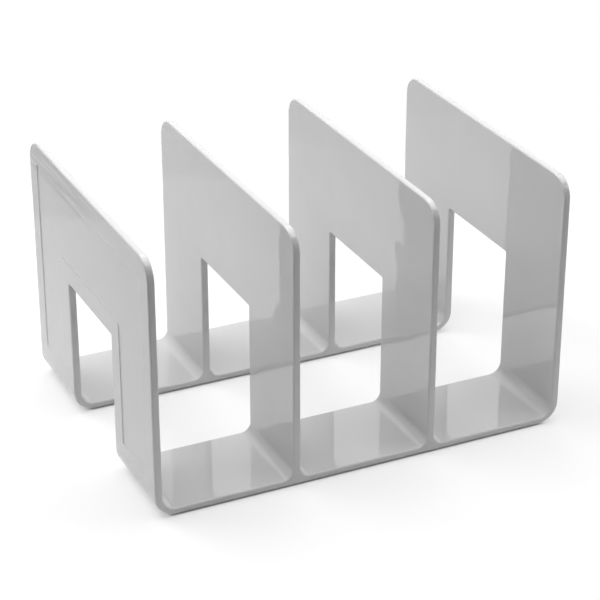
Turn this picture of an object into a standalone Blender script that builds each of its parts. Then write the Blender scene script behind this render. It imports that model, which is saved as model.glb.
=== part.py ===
"""Desktop book rack: one glossy moulding with four uprights on two rails, standing on four soft feet.

The rack stands on z = 0 with its middle over the origin.
X runs along the row of bays, and the open fronts of the bays face -Y.
"""
import math

import bmesh
import bpy

MM = 0.001
HALF = 0.5

# Moulding
RACK_WIDTH = 248 * MM
RACK_DEPTH = 184 * MM
MOULDING_HEIGHT = 150 * MM
BASE_THICKNESS = 3.6 * MM
DIVIDER_SPACING = 82.4 * MM
UPRIGHT_FOOT_THICKNESS = 4.5 * MM
UPRIGHT_TOP_THICKNESS = 4.1 * MM
OUTER_CORNER_RADIUS = 12 * MM
DIVIDER_FILLET_RADIUS = 6 * MM
EDGE_ROUNDING = 1.1 * MM

# Opening through the middle of the depth, under the arch of each upright
LEG_DEPTH = 58.5 * MM
ARCH_HEIGHT = 82.5 * MM
OPENING_CORNER_RADIUS = 0.8 * MM

# Shallow panel sunk into each outer face
PANEL_BORDER = 12 * MM
PANEL_SILL_HEIGHT = 21 * MM
PANEL_SINK = 0.6 * MM
PANEL_OUTER_RADIUS = 1.5 * MM
PANEL_INNER_RADIUS = 3 * MM

# Feet
FOOT_DIAMETER = 10 * MM
FOOT_THICKNESS = 1.7 * MM
FOOT_EDGE_ROUNDING = 0.3 * MM
FOOT_END_INSET = 24 * MM
POCKET_DEPTH = 1 * MM
SEAT_CLEARANCE = 0.3 * MM

# How finely curves are drawn, and how far cutters overrun
CORNER_STEPS = 12
FILLET_STEPS = 9
SMALL_CORNER_STEPS = 4
ROUNDING_STEPS = 4
FOOT_ROUNDING_STEPS = 2
FOOT_SIDES = 48
OVERRUN = 5 * MM
WELD_DISTANCE = 0.01 * MM
FLAT_ANGLE = math.radians(1)
SHARP_ANGLE = math.radians(40)

# Places worked out from the sizes above
FOOT_REACH = FOOT_THICKNESS + SEAT_CLEARANCE - POCKET_DEPTH
MOULDING_TOP = FOOT_REACH + MOULDING_HEIGHT
BASE_TOP = FOOT_REACH + BASE_THICKNESS
ARCH_TOP = FOOT_REACH + ARCH_HEIGHT
FRONT = -HALF * RACK_DEPTH
ARCH_HALF_WIDTH = HALF * RACK_DEPTH - LEG_DEPTH
INNER_CORNER_RADIUS = OUTER_CORNER_RADIUS - UPRIGHT_FOOT_THICKNESS
DRAFT_PER_FACE = HALF * (UPRIGHT_FOOT_THICKNESS - UPRIGHT_TOP_THICKNESS)
OUTER_UPRIGHT_PLACE = HALF * (RACK_WIDTH - UPRIGHT_FOOT_THICKNESS)
DIVIDER_PLACE = HALF * DIVIDER_SPACING
UPRIGHT_PLACES = (-OUTER_UPRIGHT_PLACE, -DIVIDER_PLACE, DIVIDER_PLACE, OUTER_UPRIGHT_PLACE)


def clear_scene():
    for thing in list(bpy.data.objects):
        bpy.data.objects.remove(thing, do_unlink=True)


def new_collection(name):
    collection = bpy.data.collections.new(name)
    bpy.context.scene.collection.children.link(collection)
    return collection


def make_material(name, colour, roughness, metallic):
    material = bpy.data.materials.new(name)
    material.use_nodes = True
    shader = material.node_tree.nodes["Principled BSDF"]
    shader.inputs["Base Color"].default_value = (*colour, 1)
    shader.inputs["Roughness"].default_value = roughness
    shader.inputs["Metallic"].default_value = metallic
    return material


def rounded_outline(corners):
    """Turn (across, up, radius, steps) corners into points, with an arc in each corner that has a radius."""
    points = []
    count = len(corners)
    for index, (across, up, radius, steps) in enumerate(corners):
        if not radius:
            points.append((across, up))
            continue
        before = corners[index - 1]
        after = corners[(index + 1) % count]
        toward_before = math.atan2(before[1] - up, before[0] - across)
        toward_after = math.atan2(after[1] - up, after[0] - across)
        opening = math.remainder(toward_after - toward_before, math.tau)
        reach = radius / math.tan(abs(opening) * HALF)
        slant = math.hypot(radius, reach)
        middle = toward_before + opening * HALF
        centre_across = across + slant * math.cos(middle)
        centre_up = up + slant * math.sin(middle)
        start = toward_before - math.copysign(math.pi * HALF, opening)
        sweep = -math.copysign(math.pi - abs(opening), opening)
        for step in range(steps + 1):
            angle = start + sweep * step / steps
            points.append((centre_across + radius * math.cos(angle), centre_up + radius * math.sin(angle)))
    return points


def upright_half_thickness(height):
    """Half the thickness of an upright at a height over the floor; the draft thins it towards the top."""
    climbed = (height - FOOT_REACH) / MOULDING_HEIGHT
    return HALF * UPRIGHT_FOOT_THICKNESS - DRAFT_PER_FACE * climbed


def comb_outline():
    """Front view of the moulding: base strip and four tapered uprights, with rounded corners and fillets."""
    at_top = upright_half_thickness(MOULDING_TOP)
    at_base = upright_half_thickness(BASE_TOP)
    side = HALF * RACK_WIDTH
    corners = [
        (-side, FOOT_REACH, OUTER_CORNER_RADIUS, CORNER_STEPS),
        (side, FOOT_REACH, OUTER_CORNER_RADIUS, CORNER_STEPS),
    ]
    last = len(UPRIGHT_PLACES) - 1
    for index in range(last, -1, -1):
        place = UPRIGHT_PLACES[index]
        if index < last:
            corners.append((place + at_base, BASE_TOP, foot_radius(index), FILLET_STEPS))
        corners.append((place + at_top, MOULDING_TOP, 0, 0))
        corners.append((place - at_top, MOULDING_TOP, 0, 0))
        if index > 0:
            corners.append((place - at_base, BASE_TOP, foot_radius(index), FILLET_STEPS))
    return rounded_outline(corners)


def foot_radius(index):
    """Fillet between an upright and the base: the outer uprights follow the outer corner."""
    outer = index in (0, len(UPRIGHT_PLACES) - 1)
    return INNER_CORNER_RADIUS if outer else DIVIDER_FILLET_RADIUS


def arch_outline():
    """Side view of the moulding: an arch with a leg at the front and one at the rear."""
    front = HALF * RACK_DEPTH
    floor = FOOT_REACH - OVERRUN
    return rounded_outline([
        (-front, floor, 0, 0),
        (-ARCH_HALF_WIDTH, floor, 0, 0),
        (-ARCH_HALF_WIDTH, ARCH_TOP, OPENING_CORNER_RADIUS, SMALL_CORNER_STEPS),
        (ARCH_HALF_WIDTH, ARCH_TOP, OPENING_CORNER_RADIUS, SMALL_CORNER_STEPS),
        (ARCH_HALF_WIDTH, floor, 0, 0),
        (front, floor, 0, 0),
        (front, MOULDING_TOP, OUTER_CORNER_RADIUS, CORNER_STEPS),
        (-front, MOULDING_TOP, OUTER_CORNER_RADIUS, CORNER_STEPS),
    ])


def panel_outline():
    """The sunk panel follows the arch, one border inside its edges."""
    front = HALF * RACK_DEPTH - PANEL_BORDER
    leg_inside = ARCH_HALF_WIDTH + PANEL_BORDER
    sill = FOOT_REACH + PANEL_SILL_HEIGHT
    lintel = ARCH_TOP + PANEL_BORDER
    top = MOULDING_TOP - PANEL_BORDER
    return rounded_outline([
        (-front, sill, 0, 0),
        (-leg_inside, sill, 0, 0),
        (-leg_inside, lintel, PANEL_INNER_RADIUS, FILLET_STEPS),
        (leg_inside, lintel, PANEL_INNER_RADIUS, FILLET_STEPS),
        (leg_inside, sill, 0, 0),
        (front, sill, 0, 0),
        (front, top, PANEL_OUTER_RADIUS, SMALL_CORNER_STEPS),
        (-front, top, PANEL_OUTER_RADIUS, SMALL_CORNER_STEPS),
    ])


def extruded_outline(name, outline, thickness, turn, collection):
    """A flat outline as a filled curve, given its thickness, stood up and made a closed mesh."""
    curve = bpy.data.curves.new(name, "CURVE")
    curve.dimensions = "2D"
    curve.fill_mode = "BOTH"
    curve.extrude = HALF * thickness
    spline = curve.splines.new("POLY")
    spline.points.add(len(outline) - 1)
    for point, (across, up) in zip(spline.points, outline):
        point.co = (across, up, 0, 1)
    spline.use_cyclic_u = True
    flat = bpy.data.objects.new(name + "_outline", curve)
    flat.rotation_euler = turn
    collection.objects.link(flat)
    bpy.context.view_layer.update()
    graph = bpy.context.evaluated_depsgraph_get()
    mesh = bpy.data.meshes.new_from_object(flat.evaluated_get(graph))
    mesh.name = name
    mesh.transform(flat.matrix_world)
    bpy.data.objects.remove(flat, do_unlink=True)
    tidy_mesh(mesh)
    solid = bpy.data.objects.new(name, mesh)
    collection.objects.link(solid)
    return solid


def tidy_mesh(mesh):
    """Weld the seams, join what lies in one plane into one face, and turn the faces outwards."""
    shape = bmesh.new()
    shape.from_mesh(mesh)
    bmesh.ops.remove_doubles(shape, verts=shape.verts, dist=WELD_DISTANCE)
    bmesh.ops.dissolve_limit(shape, angle_limit=FLAT_ANGLE, verts=shape.verts, edges=shape.edges)
    bmesh.ops.recalc_face_normals(shape, faces=shape.faces)
    shape.to_mesh(mesh)
    shape.free()


def add_boolean(target, tool, operation):
    cut = target.modifiers.new(tool.name, "BOOLEAN")
    cut.operation = operation
    cut.solver = "EXACT"
    cut.object = tool


def apply_modifiers(target):
    """Keep the shape that the modifiers give, as a tidy mesh of few large faces."""
    bpy.context.view_layer.update()
    graph = bpy.context.evaluated_depsgraph_get()
    mesh = bpy.data.meshes.new_from_object(target.evaluated_get(graph))
    mesh.name = target.name
    target.modifiers.clear()
    target.data = mesh
    tidy_mesh(mesh)


def round_edges(target, width, steps):
    rounding = target.modifiers.new("rounded_edges", "BEVEL")
    rounding.width = width
    rounding.segments = steps
    rounding.limit_method = "ANGLE"
    rounding.angle_limit = SHARP_ANGLE
    rounding.use_clamp_overlap = True


def smooth_round_faces(target):
    target.data.shade_smooth()
    target.data.set_sharp_from_angle(angle=SHARP_ANGLE)


def hide_cutter(cutter):
    cutter.hide_render = True
    cutter.display_type = "WIRE"


def foot_places():
    """Name and place of each foot, under the middle of a rail's depth and near its end."""
    across = HALF * RACK_WIDTH - FOOT_END_INSET
    along = HALF * (RACK_DEPTH - LEG_DEPTH)
    return [
        (row + "_" + side, side_sign * across, row_sign * along)
        for row, row_sign in (("front", -1), ("rear", 1))
        for side, side_sign in (("left", -1), ("right", 1))
    ]


def add_disc(name, diameter, bottom, top, across, along, collection):
    """A round disc between two heights, from the cylinder primitive."""
    bpy.ops.mesh.primitive_cylinder_add(
        vertices=FOOT_SIDES,
        radius=HALF * diameter,
        depth=top - bottom,
        location=(across, along, HALF * (bottom + top)),
    )
    disc = bpy.context.object
    disc.name = name
    disc.data.name = name
    for other in list(disc.users_collection):
        other.objects.unlink(disc)
    collection.objects.link(disc)
    return disc


def build_moulding(parts, cutters, material):
    """The whole rack is one moulding: the comb seen from the front, kept where the side view has the arch."""
    stood_up = (math.pi * HALF, 0, 0)
    seen_from_side = (math.pi * HALF, 0, math.pi * HALF)
    moulding = extruded_outline("rack_moulding", comb_outline(), RACK_DEPTH, stood_up, parts)
    arch_width = RACK_WIDTH + OVERRUN
    arch = extruded_outline("side_view_arch", arch_outline(), arch_width, seen_from_side, cutters)
    add_boolean(moulding, arch, "INTERSECT")
    apply_modifiers(moulding)
    bpy.data.objects.remove(arch, do_unlink=True)
    round_edges(moulding, EDGE_ROUNDING, ROUNDING_STEPS)
    cut_side_panels(moulding, cutters, seen_from_side)
    cut_foot_pockets(moulding, cutters)
    moulding.data.materials.append(material)
    smooth_round_faces(moulding)


def cut_side_panels(moulding, cutters, turn):
    """Sink a panel into each outer face, parallel to that drafted face."""
    lean = math.atan2(DRAFT_PER_FACE, MOULDING_HEIGHT)
    for name, side in (("panel_left", -1), ("panel_right", 1)):
        cutter = extruded_outline(name, panel_outline(), OVERRUN, turn, cutters)
        face = HALF * RACK_WIDTH - PANEL_SINK + HALF * OVERRUN
        cutter.location = (side * face, 0, 0)
        cutter.rotation_euler = (0, -side * lean, 0)
        hide_cutter(cutter)
        add_boolean(moulding, cutter, "DIFFERENCE")


def cut_foot_pockets(moulding, cutters):
    pocket_diameter = FOOT_DIAMETER + 2 * SEAT_CLEARANCE
    bottom = FOOT_REACH - OVERRUN
    top = FOOT_REACH + POCKET_DEPTH
    for place, across, along in foot_places():
        cutter = add_disc("pocket_" + place, pocket_diameter, bottom, top, across, along, cutters)
        hide_cutter(cutter)
        add_boolean(moulding, cutter, "DIFFERENCE")


def build_feet(parts, material):
    for place, across, along in foot_places():
        foot = add_disc("foot_" + place, FOOT_DIAMETER, 0, FOOT_THICKNESS, across, along, parts)
        round_edges(foot, FOOT_EDGE_ROUNDING, FOOT_ROUNDING_STEPS)
        foot.data.materials.append(material)
        smooth_round_faces(foot)


def build():
    clear_scene()
    parts = new_collection("desktop_book_rack")
    cutters = new_collection("cutters")
    plastic = make_material("light_grey_plastic", (0.56, 0.56, 0.555), 0.08, 0)
    rubber = make_material("foot_rubber", (0.024, 0.024, 0.025), 0.7, 0)
    build_moulding(parts, cutters, plastic)
    build_feet(parts, rubber)


build()
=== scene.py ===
# %% [markdown]
# # A glossy desktop book rack
# The rack is one injection moulding in light-grey plastic: four thin uprights that stand on a front and
# a rear rail, with an arched opening through the middle. It rests on four small soft feet. The packed
# CAD model is loaded first, as a fixed frame in metres, and everything made below goes where it says.

# %% Load the CAD frame
import math

import bpy
import numpy as np
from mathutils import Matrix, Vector


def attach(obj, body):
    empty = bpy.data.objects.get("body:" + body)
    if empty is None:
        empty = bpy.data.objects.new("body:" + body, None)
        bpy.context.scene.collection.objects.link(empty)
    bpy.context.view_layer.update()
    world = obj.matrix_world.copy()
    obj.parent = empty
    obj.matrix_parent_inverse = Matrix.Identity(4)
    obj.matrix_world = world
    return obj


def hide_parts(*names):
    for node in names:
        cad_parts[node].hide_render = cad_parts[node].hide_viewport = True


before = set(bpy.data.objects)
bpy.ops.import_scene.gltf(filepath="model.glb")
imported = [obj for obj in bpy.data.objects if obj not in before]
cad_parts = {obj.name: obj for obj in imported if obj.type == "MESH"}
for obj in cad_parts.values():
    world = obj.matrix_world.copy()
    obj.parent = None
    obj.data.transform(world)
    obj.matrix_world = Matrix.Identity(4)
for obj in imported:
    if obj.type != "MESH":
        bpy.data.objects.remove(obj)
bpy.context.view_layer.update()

MM = 0.001

# %% [markdown]
# ## The camera
# The rack is seen from its front left and from above, so that the outer face of the left upright, the
# open bays and the tops of both rails show. A long lens from over a metre away keeps the uprights
# nearly parallel. The camera is placed by two angles, a distance and the point that it looks at.

# %% Camera
LOOK_AT = np.array([3.8, 0, 61.8]) * MM
CAMERA_DISTANCE = 1184.3 * MM
CAMERA_AZIMUTH, CAMERA_ELEVATION = math.radians(-25.24), math.radians(26.65)
LENS_MM = 123.3


def aim(thing, place, point):
    """Put a camera or lamp at a place, with its -Z axis along the line from there to the point."""
    thing.location = place
    thing.rotation_euler = (Vector(point) - Vector(place)).to_track_quat("-Z", "Y").to_euler()


toward_camera = np.array([
    math.sin(CAMERA_AZIMUTH) * math.cos(CAMERA_ELEVATION),
    -math.cos(CAMERA_AZIMUTH) * math.cos(CAMERA_ELEVATION),
    math.sin(CAMERA_ELEVATION),
])
camera = bpy.data.objects.new("camera", bpy.data.cameras.new("camera"))
bpy.context.scene.collection.objects.link(camera)
camera.data.lens = LENS_MM
aim(camera, LOOK_AT + CAMERA_DISTANCE * toward_camera, LOOK_AT)
bpy.context.scene.camera = camera
print("camera at", [round(value, 4) for value in camera.location])

# %% [markdown]
# ## Sizes of the moulding
# These are the CAD model's own sizes, written again because a scene can't read the CAD source. The
# uprights are thinner at the top than at the foot. That draft lets the moulding leave its mould
# upwards.

# %% Sizes
RACK_WIDTH, RACK_DEPTH, MOULDING_HEIGHT = 248 * MM, 184 * MM, 150 * MM
FLOOR_GAP, BASE_THICKNESS = 1 * MM, 3.6 * MM
FOOT_THICKNESS, TOP_THICKNESS = 4.5 * MM, 4.1 * MM
DIVIDER_SPACING = 82.4 * MM
CORNER_RADIUS, DIVIDER_FILLET = 12 * MM, 6 * MM
LEG_DEPTH, ARCH_HEIGHT = 58.5 * MM, 82.5 * MM

BOTTOM, BASE_TOP = FLOOR_GAP, FLOOR_GAP + BASE_THICKNESS
TOP, ARCH_TOP = BOTTOM + MOULDING_HEIGHT, BOTTOM + ARCH_HEIGHT
FRONT = RACK_DEPTH / 2
ARCH_HALF_WIDTH = FRONT - LEG_DEPTH
OUTER_PLACE, DIVIDER_PLACE = (RACK_WIDTH - FOOT_THICKNESS) / 2, DIVIDER_SPACING / 2
PLACES = (-OUTER_PLACE, -DIVIDER_PLACE, DIVIDER_PLACE, OUTER_PLACE)
LEAN = math.atan((FOOT_THICKNESS - TOP_THICKNESS) / 2 / MOULDING_HEIGHT)


def half_thickness(height):
    """Half of an upright's thickness: the foot's, less the lean for each metre climbed."""
    return FOOT_THICKNESS / 2 - math.tan(LEAN) * (height - BOTTOM)


bay_width = DIVIDER_SPACING - FOOT_THICKNESS
print(f"draft {math.degrees(LEAN):.2f} degrees, bays {bay_width / MM:.1f} mm wide at the foot")

# %% [markdown]
# ## The profile across a leg
# Every upright is one profile carried along an arch: up the front leg, over the top and down the rear
# leg. The profile starts at the outer rim, goes across the face and ends at the rim of the opening. A
# real rim is never sharp, so each starts with a quarter circle. On the two outer faces the profile also
# steps down into a shallow panel. The panel is slightly dished along that step, which draws the faint
# double line that frames it. Each point of the profile is a line that follows its own arch, with its
# own half width, top and corner radius.

# %% Profile of a leg
EDGE_RADIUS, EDGE_STEPS = 1.1 * MM, 6
PANEL_BORDER, BORDER_STEPS, PANEL_SINK = 12 * MM, 4, 0.6 * MM
PANEL_OUTER_CORNER, PANEL_INNER_CORNER = 1.5 * MM, 3 * MM
OPENING_CORNER, SHARP_CORNER = 0.8 * MM, 0.3 * MM
SHOULDER_RADIUS, SHOULDER_ANGLE, SHOULDER_STEPS = 0.2 * MM, math.radians(80), 4
DISH_SHARE, DISH_REACH, DISH_STEPS = 0.42, 2.6 * MM, 4
FOOT_ALONG, POCKET_SQUARE, POCKET_CELLS = FRONT - LEG_DEPTH / 2, 16 * MM, 8
OUTER_LINE_SHARE = 0.8


def shoulder():
    """How far across, how deep and how steep a rounded step is.

    It is an arc down, a steep straight, an arc back, and then a shallow parabola out to the flat panel, whose
    depth is 1 - share * (1 - t)^2.
    """
    step_sink = PANEL_SINK * (1 - DISH_SHARE)
    turn = np.linspace(0, SHOULDER_ANGLE, SHOULDER_STEPS + 1)
    arc_across, arc_deep = SHOULDER_RADIUS * np.sin(turn), SHOULDER_RADIUS * (1 - np.cos(turn))
    width = 2 * arc_across[-1] + (step_sink - 2 * arc_deep[-1]) / math.tan(SHOULDER_ANGLE)
    left = 1 - np.linspace(0, 1, DISH_STEPS + 1)
    dish_deep = PANEL_SINK * (1 - DISH_SHARE * left ** 2)
    dish_steep = 2 * PANEL_SINK * DISH_SHARE / DISH_REACH * left
    across = np.concatenate([arc_across, width - arc_across[:0:-1], width + DISH_REACH * (1 - left)])
    deep = np.concatenate([arc_deep, step_sink - arc_deep[:0:-1], dish_deep]) / PANEL_SINK
    steep = np.concatenate([np.tan(turn), np.tan(turn[:0:-1]), dish_steep])
    return across, deep, steep


def lines(half_width, top, radius, ease=0, rim=0, deep=0, steep=0):
    """Lines of the profile as columns: where each runs, how far a rim eases it in, and how its face turns."""
    return np.array(np.broadcast_arrays(half_width, top, radius, ease, rim, deep, steep), float)


step_across, step_deep, step_steep = shoulder()
turn = np.linspace(0, math.pi / 2, EDGE_STEPS + 1)
inset, ease = EDGE_RADIUS * (1 - np.cos(turn)), EDGE_RADIUS * (1 - np.sin(turn))
border = np.linspace(EDGE_RADIUS, PANEL_BORDER, BORDER_STEPS + 1)[1:-1]
border_ends = [EDGE_RADIUS, PANEL_BORDER]
outer_radii = np.interp(border, border_ends, [CORNER_RADIUS - EDGE_RADIUS, PANEL_OUTER_CORNER])
inner_radii = np.interp(border, border_ends, [OPENING_CORNER + EDGE_RADIUS, PANEL_INNER_CORNER])
outer_rim = lines(FRONT - inset, TOP - inset, CORNER_RADIUS - inset, ease, np.cos(turn))
outer_border = lines(FRONT - border, TOP - border, outer_radii)
step_in = PANEL_BORDER + step_across
step_radii = np.maximum(PANEL_OUTER_CORNER - step_across, SHARP_CORNER)
outer_step = lines(FRONT - step_in, TOP - step_in, step_radii, 0, 0, step_deep, -step_steep)
inner_step = lines(ARCH_HALF_WIDTH + step_in, ARCH_TOP + step_in, PANEL_INNER_CORNER + step_across,
                   0, 0, step_deep, step_steep)
inner_border = lines(ARCH_HALF_WIDTH + border, ARCH_TOP + border, inner_radii)
inner_rim = lines(ARCH_HALF_WIDTH + inset, ARCH_TOP + inset, OPENING_CORNER + inset, ease, -np.cos(turn))
panel_places = np.concatenate([
    [FOOT_ALONG + OUTER_LINE_SHARE * POCKET_SQUARE],
    np.linspace(FOOT_ALONG + POCKET_SQUARE / 2, FOOT_ALONG - POCKET_SQUARE / 2, POCKET_CELLS + 1),
])
panel_tops, panel_radii = (np.interp(-panel_places, [-outer_step[0, -1], -inner_step[0, -1]],
                                     [outer_step[row, -1], inner_step[row, -1]]) for row in (1, 2))
panel = lines(panel_places, panel_tops, panel_radii, deep=1)
profile = np.concatenate([outer_rim, outer_border, outer_step, panel,
                          inner_step[:, ::-1], inner_border[:, ::-1], inner_rim[:, ::-1]], axis=1)
half_width, arch_top, arch_radius, ease, rim, deep, steep = profile
face = np.sqrt(1 - rim ** 2)
print(f"the profile has {profile.shape[1]} lines, and its panel step is {step_across[-1] / MM:.2f} mm wide")

# %% [markdown]
# ## The arch that the profile follows
# All lines pass the same stations, so that together they make a grid: rows at fixed heights on the leg,
# where the panel's sill is, rows that share out the rest of the leg, a quarter circle for the corner,
# and the beam. The rear half is the mirror image of the front half.

# %% Stations along the arch
JOIN_HEIGHT, SILL_HEIGHT = 14 * MM, BOTTOM + 21 * MM
LEG_ROWS, CORNER_ROWS, BEAM_ROWS = 6, 20, 5


def follow_arch(low_rows):
    """Where each line is at each station, and which way is outwards there: leg, arc, beam, and mirrored."""
    fixed = np.repeat(low_rows[:, None], len(half_width), axis=1)
    climb = np.linspace(0, 1, LEG_ROWS + 1)[1:, None]
    bend = np.linspace(0, math.pi / 2, CORNER_ROWS + 1)[1:, None]
    run = np.linspace(0, 1, BEAM_ROWS + 1)[1:, None]
    corner_start = arch_top - arch_radius
    height = np.concatenate([fixed, low_rows[-1] + (corner_start - low_rows[-1]) * climb,
                             corner_start + arch_radius * np.sin(bend), arch_top + 0 * run])
    along = np.concatenate([-half_width + 0 * fixed, -half_width + 0 * climb,
                            -half_width + arch_radius * (1 - np.cos(bend)),
                            -(half_width - arch_radius) * (1 - run)])
    leg_angle, beam_angle = np.zeros(len(low_rows) + LEG_ROWS), np.full(BEAM_ROWS, math.pi / 2)
    angle = np.concatenate([leg_angle, bend[:, 0], beam_angle])
    outward = np.stack([-np.cos(angle), np.sin(angle)], axis=1)
    mirrored = outward[-2::-1] * [-1, 1]
    return (np.concatenate([along, -along[-2::-1]]), np.concatenate([height, height[-2::-1]]),
            np.concatenate([outward, mirrored]))


low_rows = np.concatenate([[JOIN_HEIGHT, (JOIN_HEIGHT + SILL_HEIGHT) / 2], SILL_HEIGHT + step_across])
along, height, outward = follow_arch(low_rows)
rows_above = len(height) // 2 + 1 - len(low_rows)
sill_deep = np.concatenate([[0, 0], step_deep, np.ones(rows_above)])
sill_steep = np.concatenate([[0, 0], step_steep, np.zeros(rows_above)])
sill_deep, sill_steep = (np.concatenate([rows, rows[-2::-1]])[:, None] for rows in (sill_deep, sill_steep))
print("arch grid:", height.shape[0], "stations by", height.shape[1], "lines")

# %% [markdown]
# ## Faces and rims of the uprights
# A face is the arch grid pushed out sideways by half the thickness, less the easing at the rims and, on
# the outer faces, less the sunk panel. The exact facing is worked out with each point, so that a wide
# flat face and a narrow rounded edge both shade as they should. The rims between two faces are plain
# bands.

# %% Uprights
patches = []


def add_patch(points, facings, keep=None):
    """Keep a grid of points and facings, with its quads wound so that they face as the facings do."""
    rows, columns = points.shape[:2]
    number = np.arange(rows * columns).reshape(rows, columns)
    quads = np.stack([number[:-1, :-1], number[1:, :-1], number[1:, 1:], number[:-1, 1:]], axis=-1)
    quads = quads.reshape(-1, 4) if keep is None else quads[keep]
    corners = points.reshape(-1, 3)[quads]
    turned = np.cross(corners[:, 2] - corners[:, 0], corners[:, 3] - corners[:, 1])
    facings = (facings / np.linalg.norm(facings, axis=-1, keepdims=True)).reshape(-1, 3)
    if np.sum(turned * facings[quads[:, 0]]) < 0:
        quads = quads[:, ::-1]
    patches.append((points.reshape(-1, 3), facings[quads], quads))


def upright_face(place, side, sunk):
    """x = place + side * (half thickness - easing - sink * how deep); y and z come from the arch grid."""
    sideways = place + side * (half_thickness(height) - ease - sunk * PANEL_SINK * deep * sill_deep)
    tip = rim + sunk * steep * sill_deep
    facings = np.stack([
        side * math.cos(LEAN) * face + 0 * tip,
        tip * outward[:, :1],
        tip * outward[:, 1:] + math.sin(LEAN) * face + sunk * deep * sill_steep,
    ], axis=-1)
    add_patch(np.stack([sideways, along, height], axis=-1), facings)


def upright_rim(place, line, sign, cells):
    """The flat band between two faces' rims: x runs evenly from one side to the other at every station."""
    reach = half_thickness(height[:, line]) - EDGE_RADIUS
    sideways = place + reach[:, None] * np.linspace(-1, 1, cells + 1)
    shape = sideways.shape
    points = np.stack([sideways, np.broadcast_to(along[:, line, None], shape),
                       np.broadcast_to(height[:, line, None], shape)], axis=-1)
    facings = np.stack([np.zeros(shape), np.broadcast_to(sign * outward[:, :1], shape),
                        np.broadcast_to(sign * outward[:, 1:], shape)], axis=-1)
    add_patch(points, facings)


for place in PLACES:
    cells = 1 if abs(place) == OUTER_PLACE else 2
    upright_face(place, -1, float(place == PLACES[0]))
    upright_face(place, 1, float(place == PLACES[-1]))
    upright_rim(place, 0, 1, cells)
    upright_rim(place, -1, -1, cells)
print(len(patches), "patches for the uprights,", sum(len(quads) for *_, quads in patches), "quads")

# %% [markdown]
# ## The rails
# Below the join, both rails have the same front view: a base strip whose ends turn up into the outer
# uprights, and dividers that rise from it with a fillet on each side. That front view is carried along
# the depth of a rail, line by line, with the same profile as the legs above, so the two meet point for
# point.

# %% Walls and arcs of the front view
WALL_CELLS, FILLET_CELLS, FLOOR_CELLS = 3, 14, 6
FOOT_INSET = 24 * MM
FOOT_ACROSS = RACK_WIDTH / 2 - FOOT_INSET
LAST = len(PLACES) - 1


def wall_and_arc(place, side, radius, centre_height, bulge, eased):
    """Down a leaning wall, then round an arc until it is level. Bulge 1 is a fillet and -1 an outer corner.

    The arc's centre is one radius from the wall. Its points are the centre less the reach times the
    cosine and the sine of the angle.
    """
    wall = place + side * half_thickness(centre_height)
    centre = wall + side * bulge * radius / math.cos(LEAN)
    reach = radius + bulge * eased
    down = np.linspace(0, 1, WALL_CELLS + 1)[:, None]
    start = centre_height - bulge * reach * math.sin(LEAN)
    wall_height = JOIN_HEIGHT + (start - JOIN_HEIGHT) * down
    angle = np.linspace(bulge * LEAN, math.pi / 2, FILLET_CELLS + 1)[1:, None]
    across = np.concatenate([place + side * (half_thickness(wall_height) - eased),
                             centre - side * bulge * reach * np.cos(angle)])
    up = np.concatenate([wall_height, centre_height - reach * np.sin(angle)])
    facing_across = np.concatenate([side * math.cos(LEAN) + 0 * down, side * np.cos(angle)]) + 0 * across
    facing_up = np.concatenate([math.sin(LEAN) + 0 * down, bulge * np.sin(angle)]) + 0 * across
    return np.stack([across, up, facing_across, facing_up])


def level_run(places, up, facing):
    """A level run through these places across, facing straight up or down."""
    across = places + 0 * up
    return np.stack([across, up + 0 * across, 0 * across, facing + 0 * across])


# %% Round the bays, and below them
def floor_places(index):
    """The places across that a bay's floor and the face below it share. Over a foot, its pocket's lines."""
    end = DIVIDER_PLACE - FOOT_THICKNESS / 2 - DIVIDER_FILLET
    if index == 1:
        return np.linspace(-end, end, FLOOR_CELLS + 1)[1:-1, None]
    pocket = np.linspace(FOOT_ACROSS + POCKET_SQUARE / 2, FOOT_ACROSS - POCKET_SQUARE / 2, POCKET_CELLS + 1)
    end = DIVIDER_PLACE + FOOT_THICKNESS / 2 + DIVIDER_FILLET
    places = np.concatenate([pocket, np.linspace(pocket[-1], end, FLOOR_CELLS + 1)[1:-1]])
    return (-places if index == 0 else places[::-1])[:, None]


def bay(index, eased):
    """From the join down one upright, round its fillet, along the base's top and up the next upright."""
    ends = []
    for upright, side in ((index, 1), (index + 1, -1)):
        radius = CORNER_RADIUS - FOOT_THICKNESS if upright in (0, LAST) else DIVIDER_FILLET
        ends.append(wall_and_arc(PLACES[upright], side, radius, BASE_TOP + radius, 1, eased))
    floor = level_run(floor_places(index), BASE_TOP - eased, 1)
    return np.concatenate([ends[0], floor, ends[1][:, ::-1]], axis=1)


def below(index, eased):
    """A partner for each point of the bay: on the rack's outside, or on the middle line of a divider."""
    own = bay(index, eased)
    ends = []
    for upright, side, shape in ((index, 1, own), (index + 1, -1, own[:, ::-1])):
        if upright in (0, LAST):
            centre_height = BOTTOM + CORNER_RADIUS
            ends.append(wall_and_arc(PLACES[upright], -side, CORNER_RADIUS, centre_height, -1, eased))
            continue
        wall_height, turn_in = shape[1, :WALL_CELLS + 1], shape[0, WALL_CELLS + FILLET_CELLS]
        share = np.linspace(0, 1, FILLET_CELLS // 2 + 1)[1:, None]
        low = BOTTOM + eased
        heights = np.concatenate([wall_height, wall_height[-1:] * (1 - share) + low * share])
        down = level_run(PLACES[upright], heights, -1)
        out = level_run(PLACES[upright] + (turn_in - PLACES[upright]) * share, low, -1)
        ends.append(np.concatenate([down, out], axis=1))
    floor = level_run(floor_places(index), BOTTOM + eased, -1)
    return np.concatenate([ends[0], floor, ends[1][:, ::-1]], axis=1)


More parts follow.
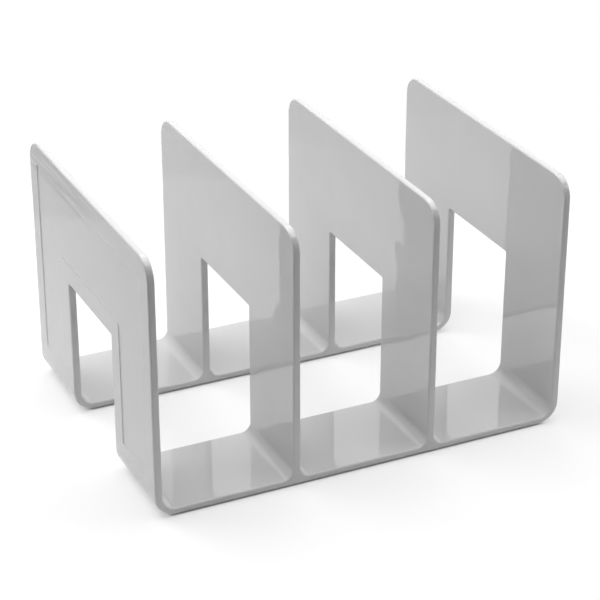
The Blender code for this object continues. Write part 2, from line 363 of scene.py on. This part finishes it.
eased = ease[None, :]
bays = [bay(index, eased) for index in range(LAST)]
partners = [below(index, eased) for index in range(LAST)]
turned_in = WALL_CELLS + FILLET_CELLS // 2
outside = np.concatenate([partners[0][:, :-turned_in], partners[1][:, turned_in + 1:-turned_in],
                          partners[2][:, turned_in + 1:]], axis=1)
print("points round each bay:", [shape.shape[1] for shape in bays], "and outside:", outside.shape[1])

# %% [markdown]
# ## Pockets for the feet
# Each foot sits in a shallow round pocket under a rail. A round hole fits a square grid when a square
# of its cells is taken out and replaced by rings that change from the square into the circle. The
# pocket's ceiling is the same square of cells pressed into a disc, so that no point needs a fan of thin
# triangles.

# %% Squares and discs on a grid
POCKET_RADIUS, POCKET_DEPTH, POCKET_RINGS = 5.3 * MM, 1 * MM, 3


def square_and_disc(cells):
    """A grid over the square from -1 to 1, and the same grid pressed into the unit disc.

    Each point keeps its direction from the middle, and its distance becomes the larger of its two
    coordinates.
    """
    side = np.linspace(-1, 1, cells + 1)
    square = np.stack(np.meshgrid(side, side, indexing="ij"), axis=-1)
    length = np.linalg.norm(square, axis=-1, keepdims=True)
    disc = square / np.where(length > 0, length, 1) * np.abs(square).max(axis=-1, keepdims=True)
    return square, disc


def rim_of(grid):
    """The points round a grid's rim, in order, with the first again at the end."""
    return np.concatenate([grid[:-1, 0], grid[-1, :-1], grid[:0:-1, -1], grid[0, :0:-1], grid[:1, 0]])


def flat_patch(points, height, facing):
    """A flat patch at one height, facing up or down."""
    points = np.concatenate([points, np.full_like(points[..., :1], height)], axis=-1)
    add_patch(points, np.zeros_like(points) + [0, 0, facing])


def add_pocket(centre):
    """Rings from the square out to the circle, the pocket's wall, and its ceiling."""
    square, disc = square_and_disc(POCKET_CELLS)
    hole, circle = rim_of(square) * POCKET_SQUARE / 2, rim_of(disc) * POCKET_RADIUS
    share = np.linspace(0, 1, POCKET_RINGS + 1)[:, None, None]
    flat_patch(centre + hole * (1 - share) + circle * share, BOTTOM, -1)
    edge = np.concatenate([circle + centre, np.full_like(circle[:, :1], BOTTOM)], axis=-1)
    wall = np.stack([edge, edge + [0, 0, POCKET_DEPTH]])
    inward = np.concatenate([-circle, np.zeros_like(circle[:, :1])], axis=-1)
    add_patch(wall, np.stack([inward, inward]))
    flat_patch(centre + disc * POCKET_RADIUS, BOTTOM + POCKET_DEPTH, -1)


# %% Rails
def rail_skin(shape, row, keep=None):
    """A front-view line carried along a rail's depth: y is each line's place, and the rims face its ends."""
    across, up, facing_across, facing_up = shape
    along_rail = row * half_width + 0 * across
    facings = np.stack([face * facing_across, row * rim + 0 * across, face * facing_up], axis=-1)
    add_patch(np.stack([across, along_rail, up], axis=-1), facings, keep)


def rail_end(index, row, line):
    """The flat front or rear face of a rail round one bay, from the bay's rim to its partner points."""
    strip = np.stack([bays[index][:2, :, line], partners[index][:2, :, line]], axis=-1)
    points = np.stack([strip[0], np.full_like(strip[0], row * half_width[line]), strip[1]], axis=-1)
    add_patch(points, np.zeros_like(points) + [0, row * rim[line], 0])


keep = np.ones((outside.shape[1] - 1, profile.shape[1] - 1), bool)
first_place, first_line = WALL_CELLS + FILLET_CELLS + 1, np.argmin(abs(half_width - panel_places[1]))
for start in (first_place, len(keep) - first_place - POCKET_CELLS):
    keep[start:start + POCKET_CELLS, first_line:first_line + POCKET_CELLS] = False
for row in (-1, 1):
    rail_skin(outside, row, keep)
    for index in range(LAST):
        rail_skin(bays[index], row)
        rail_end(index, row, 0)
        rail_end(index, row, -1)
    for side in (-1, 1):
        add_pocket(np.array([side * FOOT_ACROSS, row * FOOT_ALONG]))
print(len(patches), "patches in all")

# %% [markdown]
# ## One closed skin
# The patches share their border points, so rounding each point to a fine lattice finds the pairs and
# welds them. Each corner of a face keeps the facing that was worked out with its patch. That gives soft
# edges where the surface bends and a crisp one where a pocket's wall meets the base.

# %% Weld and make a mesh
LATTICE, LATTICE_SHIFT = 0.001 * MM, 0.123
MILLILITRE = 1e-6


def weld(patches):
    """Join the patches: points that round to the same lattice place become one vertex.

    The lattice is shifted a little, so that the many points on round numbers don't lie between two places.
    """
    points = np.concatenate([points for points, *_ in patches])
    starts = np.cumsum([0] + [len(points) for points, *_ in patches])
    quads = np.concatenate([quads + start for (*_, quads), start in zip(patches, starts)])
    facings = np.concatenate([facings for _, facings, _ in patches])
    places = np.round(points / LATTICE + LATTICE_SHIFT).astype(np.int64)
    _, first, vertex = np.unique(places, axis=0, return_index=True, return_inverse=True)
    return points[first], vertex.ravel()[quads], facings


def make_piece(name, patches):
    """Weld the patches into an object, and measure whether its skin is closed and how much it holds."""
    vertices, quads, facings = weld(patches)
    mesh = bpy.data.meshes.new(name)
    mesh.from_pydata(vertices.tolist(), [], quads.tolist())
    mesh.shade_smooth()
    mesh.normals_split_custom_set(facings.reshape(-1, 3).tolist())
    piece = bpy.data.objects.new(name, mesh)
    bpy.context.scene.collection.objects.link(piece)
    ends = np.roll(quads, -1, axis=1)
    one_way, other_way = (np.sort((a * len(vertices) + b).ravel())
                          for a, b in ((quads, ends), (ends, quads)))
    closed = np.array_equal(one_way, other_way) and (np.diff(one_way) > 0).all()
    corners = vertices[quads]
    halves = [np.einsum("ij,ij->i", corners[:, 0], np.cross(corners[:, a], corners[:, b]))
              for a, b in ((1, 2), (2, 3))]
    volume = sum(halves).sum() / 6
    print(f"{name}: {len(vertices)} vertices, {len(quads)} quads, closed {closed}, "
          f"holds {volume / MILLILITRE:.2f} ml")
    return piece


rack = make_piece("rack_moulding_skin", patches)
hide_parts("rack_moulding")
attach(rack, "root")

# %% [markdown]
# ## The feet
# Each foot is a small turned pad of soft rubber: a profile carried round an upright axis. Its two flat
# faces are the pressed square again. The lower edge is rounded like the upper one, so that the pad
# doesn't catch on a desk.

# %% Turned pads
FOOT_RADIUS, FOOT_HEIGHT, FOOT_EDGE = 5 * MM, 1.7 * MM, 0.3 * MM
PAD_CELLS, PAD_EDGE_STEPS = 16, 5


def turned_pad(centre):
    """The pad's patches: each ring is the disc's rim times a radius, at a height, facing along its turn."""
    _, disc = square_and_disc(PAD_CELLS)
    turn = np.linspace(0, math.pi / 2, PAD_EDGE_STEPS + 1)
    flat = FOOT_RADIUS - FOOT_EDGE
    radius = np.concatenate([flat + FOOT_EDGE * np.sin(turn), flat + FOOT_EDGE * np.cos(turn)])
    height = np.concatenate([FOOT_EDGE * (1 - np.cos(turn)), FOOT_HEIGHT - FOOT_EDGE * (1 - np.sin(turn))])
    outward = np.concatenate([np.sin(turn), np.cos(turn)])
    upward = np.concatenate([-np.cos(turn), np.sin(turn)])
    rim = rim_of(disc)
    shape = (len(radius), len(rim), 1)
    wall = np.concatenate([centre + radius[:, None, None] * rim,
                           np.broadcast_to(height[:, None, None], shape)], axis=-1)
    facing = np.concatenate([outward[:, None, None] * rim,
                             np.broadcast_to(upward[:, None, None], shape)], axis=-1)
    add_patch(wall, facing)
    flat_patch(centre + disc * flat, 0, -1)
    flat_patch(centre + disc * flat, FOOT_HEIGHT, 1)


feet = []
for row, row_sign in (("front", -1), ("rear", 1)):
    for side, side_sign in (("left", -1), ("right", 1)):
        patches.clear()
        turned_pad(np.array([side_sign * FOOT_ACROSS, row_sign * FOOT_ALONG]))
        foot = make_piece(f"soft_foot_{row}_{side}", patches)
        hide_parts(f"foot_{row}_{side}")
        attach(foot, "root")
        feet.append(foot)

# %% [markdown]
# ## Sums as nodes
# Shader maths reads best as sums. A small class wraps a node's output, so that `1 - cloud * 0.2` adds
# its Math nodes by itself. Every other node comes from one method, which takes the node's type, its
# settings and its sockets. Three short functions make noise, a soft step and a mix of two colours.

# %% Node helper
BLACK, WHITE = (0, 0, 0, 1), (1, 1, 1, 1)


class Wire:
    """An output that can stand in a sum. Each sign adds one Math node, also when the number comes first."""

    def __init__(self, nodes, socket):
        self.nodes, self.socket = nodes, socket

    def reckon(self, operation, first, second):
        return self.nodes.add("ShaderNodeMath", {"operation": operation}, {0: first, 1: second})

    def __add__(self, other):
        return self.reckon("ADD", self, other)

    def __sub__(self, other):
        return self.reckon("SUBTRACT", self, other)

    def __rsub__(self, other):
        return self.reckon("SUBTRACT", other, self)

    def __mul__(self, other):
        return self.reckon("MULTIPLY", self, other)

    __radd__, __rmul__ = __add__, __mul__


class Nodes:
    """A node tree. add() makes a node of a type, makes its settings, and fills or links its sockets."""

    def __init__(self, tree):
        self.tree = tree
        tree.nodes.clear()

    def add(self, kind, settings=None, sockets=None, output=0):
        node = self.tree.nodes.new(kind)
        for name, value in (settings or {}).items():
            setattr(node, name, value)
        for name, value in (sockets or {}).items():
            if isinstance(value, Wire):
                self.tree.links.new(value.socket, node.inputs[name])
            else:
                node.inputs[name].default_value = value
        return Wire(self, node.outputs[output]) if node.outputs else None


def new_finish(name):
    """A material with an empty node tree, and the Nodes to fill it."""
    material = bpy.data.materials.new(name)
    material.use_nodes = True
    return material, Nodes(material.node_tree)


def noise(nodes, where, size, detail=2.0):
    """Noise from 0 to 1 whose lumps are about this size, in metres."""
    return nodes.add("ShaderNodeTexNoise", {}, {"Vector": where, "Scale": 1 / size, "Detail": detail})


def fade(nodes, value, start, end):
    """0 up to the start, 1 from the end on, and a soft S between them."""
    return nodes.add("ShaderNodeMapRange", {"interpolation_type": "SMOOTHSTEP"},
                     {"Value": value, "From Min": start, "From Max": end})


def mix(nodes, share, colour, other):
    """The first colour where the share is 0, and the other where it is 1.

    The Mix node has its colour sockets at places 6 and 7 and its colour output at place 2.
    """
    return nodes.add("ShaderNodeMix", {"data_type": "RGBA"}, {0: share, 6: colour, 7: other}, output=2)

# %% [markdown]
# ## The plastic
# The rack is a light grey polystyrene, glossy as it left a polished mould. Such a surface is never a
# perfect mirror: its thin walls sink by a tenth of a millimetre here and there as they cool, so
# reflected edges waver, and a fine grain from the mould softens them. Both are heights for a Bump node,
# and a faint cloud varies the gloss and colour. The two middle walls cool last and sink the most, so
# the waves fade towards both ends, and towards the rails.

# %% Plastic colour and height
CLOUD_SIZE, GRAIN_SIZE, GRAIN_DETAIL, GRAIN_HEIGHT = 45 * MM, 0.9 * MM, 3.0, 0.00035 * MM
DARKER_GREY, LIGHTER_GREY = (0.545, 0.545, 0.545, 1), (0.575, 0.575, 0.575, 1)
WAVE_SIZE, WAVE_DETAIL, WAVE_HEIGHT = 20 * MM, 0.5, 0.45 * MM
CALM_ENDS, CALM_FOOT = 7, 25
plastic, nodes = new_finish("light_grey_plastic_gloss")
where = nodes.add("ShaderNodeTexCoord", output="Object")
cloud = noise(nodes, where, CLOUD_SIZE)
grain = noise(nodes, where, GRAIN_SIZE, GRAIN_DETAIL)
waver = noise(nodes, where, WAVE_SIZE, WAVE_DETAIL)
across, rearward, up = (nodes.add("ShaderNodeSeparateXYZ", {}, {"Vector": where}, output=axis)
                        for axis in "XYZ")
swing = up.reckon("MINIMUM", up * CALM_FOOT, 1) * (1 - across * CALM_ENDS * across * CALM_ENDS)
tint = mix(nodes, cloud, DARKER_GREY, LIGHTER_GREY)
height_map = (waver - 0.5) * swing * WAVE_HEIGHT + grain * GRAIN_HEIGHT
bump = nodes.add("ShaderNodeBump", {}, {"Strength": 1.0, "Distance": 1.0, "Height": height_map})

# %% [markdown]
# ## Painted shade streaks
# A few faint dark streaks of painted shade run along the top border of the left face, from its rear corner to
# about the middle, darkening the colour where that border falls in shade. They are noise drawn out along the
# depth, kept to that face and that border by soft fades.

# %% Painted shade streaks on the left face
STREAK_STRETCH, STREAK_SIZE, STREAK_DETAIL, STREAK_DEPTH = (0, 0.03, 1), 2.4 * MM, 1.0, 0.2
STREAK_LEVELS = (0.3, 0.55)
LEFT_FACE, TOP_BORDER, REAR_PART = (-123 * MM, -122 * MM), (131 * MM, 137 * MM), (-20 * MM, 15 * MM)
drawn_out = nodes.add("ShaderNodeVectorMath", {"operation": "MULTIPLY"}, {0: where, 1: STREAK_STRETCH})
streaks = fade(nodes, noise(nodes, drawn_out, STREAK_SIZE, STREAK_DETAIL), *STREAK_LEVELS)
on_face = (1 - fade(nodes, across, *LEFT_FACE)) * fade(nodes, up, *TOP_BORDER)
# Painted shade: in these streaks the grey is mixed towards black, by up to STREAK_DEPTH, to stand in for
# shade under the top rim.
painted_shade = on_face * fade(nodes, rearward, *REAR_PART) * streaks * STREAK_DEPTH
tint = mix(nodes, painted_shade, tint, BLACK)

# %% Plastic finish
GLOSS_ROUGHNESS, CLOUD_ROUGHNESS, GRAIN_ROUGHNESS = 0.02, 0.015, 0.005
POLYSTYRENE_IOR = 1.59
roughness = GLOSS_ROUGHNESS + cloud * CLOUD_ROUGHNESS + grain * GRAIN_ROUGHNESS
gloss = nodes.add("ShaderNodeBsdfPrincipled", {}, {
    "Base Color": tint, "Roughness": roughness, "Normal": bump, "IOR": POLYSTYRENE_IOR})
nodes.add("ShaderNodeOutputMaterial", {}, {"Surface": gloss})
rack.data.materials.append(plastic)

# %% [markdown]
# ## The rubber of the feet
# The feet are dark, matt rubber. Fine grain in the bump and a slightly uneven roughness keep them from
# looking painted.

# %% Rubber finish
RUBBER_GRAIN_SIZE, RUBBER_GRAIN_HEIGHT, RUBBER_BUMP = 0.4 * MM, 0.03 * MM, 0.6
DARKER_RUBBER, LIGHTER_RUBBER = (0.018, 0.018, 0.019, 1), (0.03, 0.03, 0.031, 1)
MATT_ROUGHNESS, UNEVEN_ROUGHNESS = 0.62, 0.2
rubber, nodes = new_finish("foot_rubber_matt")
where = nodes.add("ShaderNodeTexCoord", output="Object")
grain = noise(nodes, where, RUBBER_GRAIN_SIZE, GRAIN_DETAIL)
tint = mix(nodes, grain, DARKER_RUBBER, LIGHTER_RUBBER)
bump = nodes.add("ShaderNodeBump", {}, {
    "Strength": RUBBER_BUMP, "Distance": 1.0, "Height": grain * RUBBER_GRAIN_HEIGHT})
matt = nodes.add("ShaderNodeBsdfPrincipled", {}, {
    "Base Color": tint, "Roughness": MATT_ROUGHNESS + grain * UNEVEN_ROUGHNESS, "Normal": bump})
nodes.add("ShaderNodeOutputMaterial", {}, {"Surface": matt})
for foot in feet:
    foot.data.materials.append(rubber)

# %% [markdown]
# ## Floor and surroundings
# The rack stands on a plain white sheet in a white surrounding. The camera and every mirrored or
# refracted ray see the surrounding as pure white, while the rack itself gets no more from it than a
# faint glow from the rear. The sheet is partly shown as it is lit, so that it keeps the rack's shadow,
# and almost wholly so under the two rails, where the gap is dark.

# %% Floor
FLOOR_RADIUS, FLOOR_GRID = 365 * MM, 24
FLOOR_COLOUR, FLOOR_WHITENESS = (0.88, 0.88, 0.88, 1), 0.45
CONTACT_WHITENESS, CONTACT_FADE = 0.07, 1 * MM


def shows_itself(nodes):
    """1 for the rays that show a surface: from the camera, or by way of a mirror or a glass. Otherwise 0."""
    camera_ray, mirrored, through_glass = (nodes.add("ShaderNodeLightPath", output=f"Is {kind} Ray")
                                           for kind in ("Camera", "Glossy", "Transmission"))
    return camera_ray + mirrored + through_glass


def open_floor(nodes):
    """1 where the sheet is free, and 0 under the two rails, with a soft border between them.

    A point is free if it is beside the rack, beyond its front or rear, or between the rails.
    """
    where = nodes.add("ShaderNodeTexCoord", output="Object")
    off_centre = (nodes.add("ShaderNodeSeparateXYZ", {}, {"Vector": where}, output=axis) for axis in "XY")
    sideways, endways = (axis.reckon("ABSOLUTE", axis, 0) for axis in off_centre)
    beside = fade(nodes, sideways, RACK_WIDTH / 2 - CORNER_RADIUS, RACK_WIDTH / 2 - CORNER_RADIUS / 2)
    beyond = fade(nodes, endways, FRONT - CONTACT_FADE, FRONT)
    between = 1 - fade(nodes, endways, ARCH_HALF_WIDTH, ARCH_HALF_WIDTH + CONTACT_FADE)
    return beside.reckon("MAXIMUM", beside, beyond.reckon("MAXIMUM", beyond, between))


patches.clear()
_, disc = square_and_disc(FLOOR_GRID)
flat_patch(disc * FLOOR_RADIUS, 0, 1)
vertices, quads, _ = weld(patches)
floor = bpy.data.objects.new("floor", bpy.data.meshes.new("floor"))
floor.data.from_pydata(vertices.tolist(), [], quads.tolist())
bpy.context.scene.collection.objects.link(floor)
paper, nodes = new_finish("white_paper")
whiteness = FLOOR_WHITENESS - (1 - open_floor(nodes)) * (FLOOR_WHITENESS - CONTACT_WHITENESS)
lit = nodes.add("ShaderNodeBsdfDiffuse", {}, {"Color": FLOOR_COLOUR})
white = nodes.add("ShaderNodeEmission", {}, {"Color": WHITE, "Strength": 1.0})
shown = nodes.add("ShaderNodeMixShader", {}, {0: shows_itself(nodes) * whiteness, 1: lit, 2: white})
nodes.add("ShaderNodeOutputMaterial", {}, {"Surface": shown})
floor.data.materials.append(paper)

# %% World
REAR_GLOW = 0.2
world = bpy.data.worlds.new("white_surrounding")
world.use_nodes = True
bpy.context.scene.world = world
nodes = Nodes(world.node_tree)
towards = nodes.add("ShaderNodeTexCoord", output="Generated")
rearward = nodes.add("ShaderNodeSeparateXYZ", {}, {"Vector": towards}, output="Y")
to_rear = rearward.reckon("MAXIMUM", rearward, 0)
soft = nodes.add("ShaderNodeBackground", {}, {"Color": WHITE, "Strength": to_rear * to_rear * REAR_GLOW})
white = nodes.add("ShaderNodeBackground", {}, {"Color": WHITE, "Strength": 1.0})
surround = nodes.add("ShaderNodeMixShader", {}, {0: shows_itself(nodes), 1: soft, 2: white})
nodes.add("ShaderNodeOutputWorld", {}, {"Surface": surround})

# %% [markdown]
# ## Lamps
# One large soft box hangs overhead, and smaller ones stand around the rack. Each lamp's level says how
# white it looks, where 1 is white paper, so its power is that level times pi times its area.

# %% Lamps
# Each row: the lamp's place, the point that it faces, its width and its height, all in metres, and its level.
LAMPS = {
    "overhead": ((0, 0.15, 1.0), (0, 0, 0.05), 1.4, 1.4, 2.34),
    "near_rear_left": ((-0.47, 0.38, 0.75), (0, 0, 0.08), 0.6, 0.5, 3.7),
    "near_front_right": ((0.6, -0.4, 0.45), (0, 0, 0.08), 0.4, 0.4, 1.95),
    "near_right": ((0.75, 0.0, 0.45), (0, 0, 0.08), 0.5, 0.6, 1.3),
    "left": ((-1.2, 0.2, 0.6), (0, 0, 0.08), 0.9, 0.9, 0.6),
    "rear": ((0.2, 1.4, 0.7), (0, 0, 0.08), 1.6, 1.0, 0.38),
}
for name, (place, point, width, height_of, level) in LAMPS.items():
    box = bpy.data.objects.new("lamp_" + name, bpy.data.lights.new("lamp_" + name, "AREA"))
    box.data.shape, box.data.size, box.data.size_y = "RECTANGLE", width, height_of
    box.data.energy = level * math.pi * width * height_of
    box.visible_camera = False
    aim(box, place, point)
    bpy.context.scene.collection.objects.link(box)
print("lamps:", ", ".join(LAMPS))

# %% [markdown]
# ## Last lines
# Colours are shown as they are.

# %% Finish
bpy.context.scene.view_settings.view_transform = "Standard"
